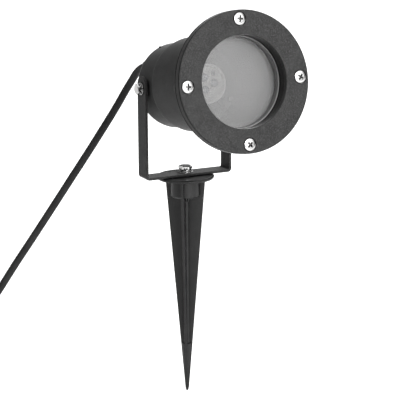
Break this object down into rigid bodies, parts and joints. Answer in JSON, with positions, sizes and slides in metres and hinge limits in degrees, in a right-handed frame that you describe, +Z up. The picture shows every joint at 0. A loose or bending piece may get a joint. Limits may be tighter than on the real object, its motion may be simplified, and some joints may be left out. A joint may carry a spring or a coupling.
{
  "type": "light projector stake",
  "caption": "Garden light projector: round cast lamp head with bezel and glass, tilting in a U-shaped steel yoke that turns on a ribbed plastic ground stake, with its mains lead",
  "frame": {"origin": "on the stake's axis, at the underside of its flange, which is ground level when the stake is in the soil", "axes": "+Z up along the stake's axis; the lamp faces -Y, tilted up by 10 degrees at rest; +X to the lamp's left, along the tilt axis"},
  "size_m": [0.2784, 0.3426, 0.3333],
  "materials": {
    "powder_coat": "fine-textured black powder coat",
    "stake_plastic": "satin moulded",
    "bright_steel": "bright zinc and stainless",
    "black_rubber": "matte",
    "black_nylon": "satin moulded",
    "grey_silicone": "matte",
    "cast_aluminium": "satin",
    "white_plastic": "satin moulded",
    "circuit_board": "satin",
    "clear_glass": "polished"
  },
  "bodies": {
    "stake": {"ground_stake": "stake_plastic", "stake_nut": "bright_steel", "centre_bolt": "bright_steel", "centre_washer": "bright_steel", "centre_lock_washer": "bright_steel"},
    "yoke": {"yoke_bracket": "powder_coat", "cord_tube": "black_rubber", "cord_coil": "black_rubber", "coil_tie": "black_nylon", "plug_body": "black_rubber", "plug_pin_left": "bright_steel", "plug_pin_right": "bright_steel"},
    "head": {"bezel_ring": "powder_coat", "bezel_screw_bottom": "bright_steel", "bezel_screw_left": "bright_steel", "bezel_screw_right": "bright_steel", "bezel_screw_top": "bright_steel", "carrier_plate": "powder_coat", "carrier_screw_1": "bright_steel", "carrier_screw_2": "bright_steel", "carrier_screw_3": "bright_steel", "cord_boot": "black_rubber", "driver_board": "circuit_board", "driver_capacitor": "black_nylon", "driver_choke": "black_nylon", "driver_transformer": "black_nylon", "driver_tray": "black_nylon", "dusk_sensor": "black_nylon", "flange_seal": "black_rubber", "front_glass": "clear_glass", "gland_body": "black_nylon", "gland_dome_nut": "black_nylon", "gland_locknut": "black_nylon", "glass_retainer": "grey_silicone", "glass_seal": "grey_silicone", "heat_sink": "cast_aluminium", "housing": "powder_coat", "led_1": "white_plastic", "led_2": "white_plastic", "led_3": "white_plastic", "led_board": "circuit_board", "lens_1": "clear_glass", "lens_2": "clear_glass", "lens_3": "clear_glass", "lens_holder": "white_plastic", "pivot_bolt_left": "bright_steel", "pivot_bolt_right": "bright_steel", "pivot_lock_washer_left": "bright_steel", "pivot_lock_washer_right": "bright_steel", "pivot_washer_left": "bright_steel", "pivot_washer_right": "bright_steel", "wheel_motor": "cast_aluminium"},
    "pattern_wheel": {"pattern_wheel": "black_nylon", "motor_shaft": "bright_steel"}
  },
  "joints": [
    {"name": "pan", "type": "hinge", "parent": "stake", "child": "yoke", "pos_m": [0, 0, 0.0029], "axis": [0, 0, 1], "range_deg": [-180, 180]},
    {"name": "tilt", "type": "hinge", "parent": "yoke", "child": "head", "pos_m": [0, 0, 0.0774], "axis": [-1, 0, 0], "range_deg": [-20, 60], "deforming": ["cord_tube"]},
    {"name": "wheel_spin", "type": "hinge", "parent": "head", "child": "pattern_wheel", "pos_m": [0, -0.03693, 0.08391], "axis": [0, -0.9848, 0.1736], "continuous": true}
  ]
}
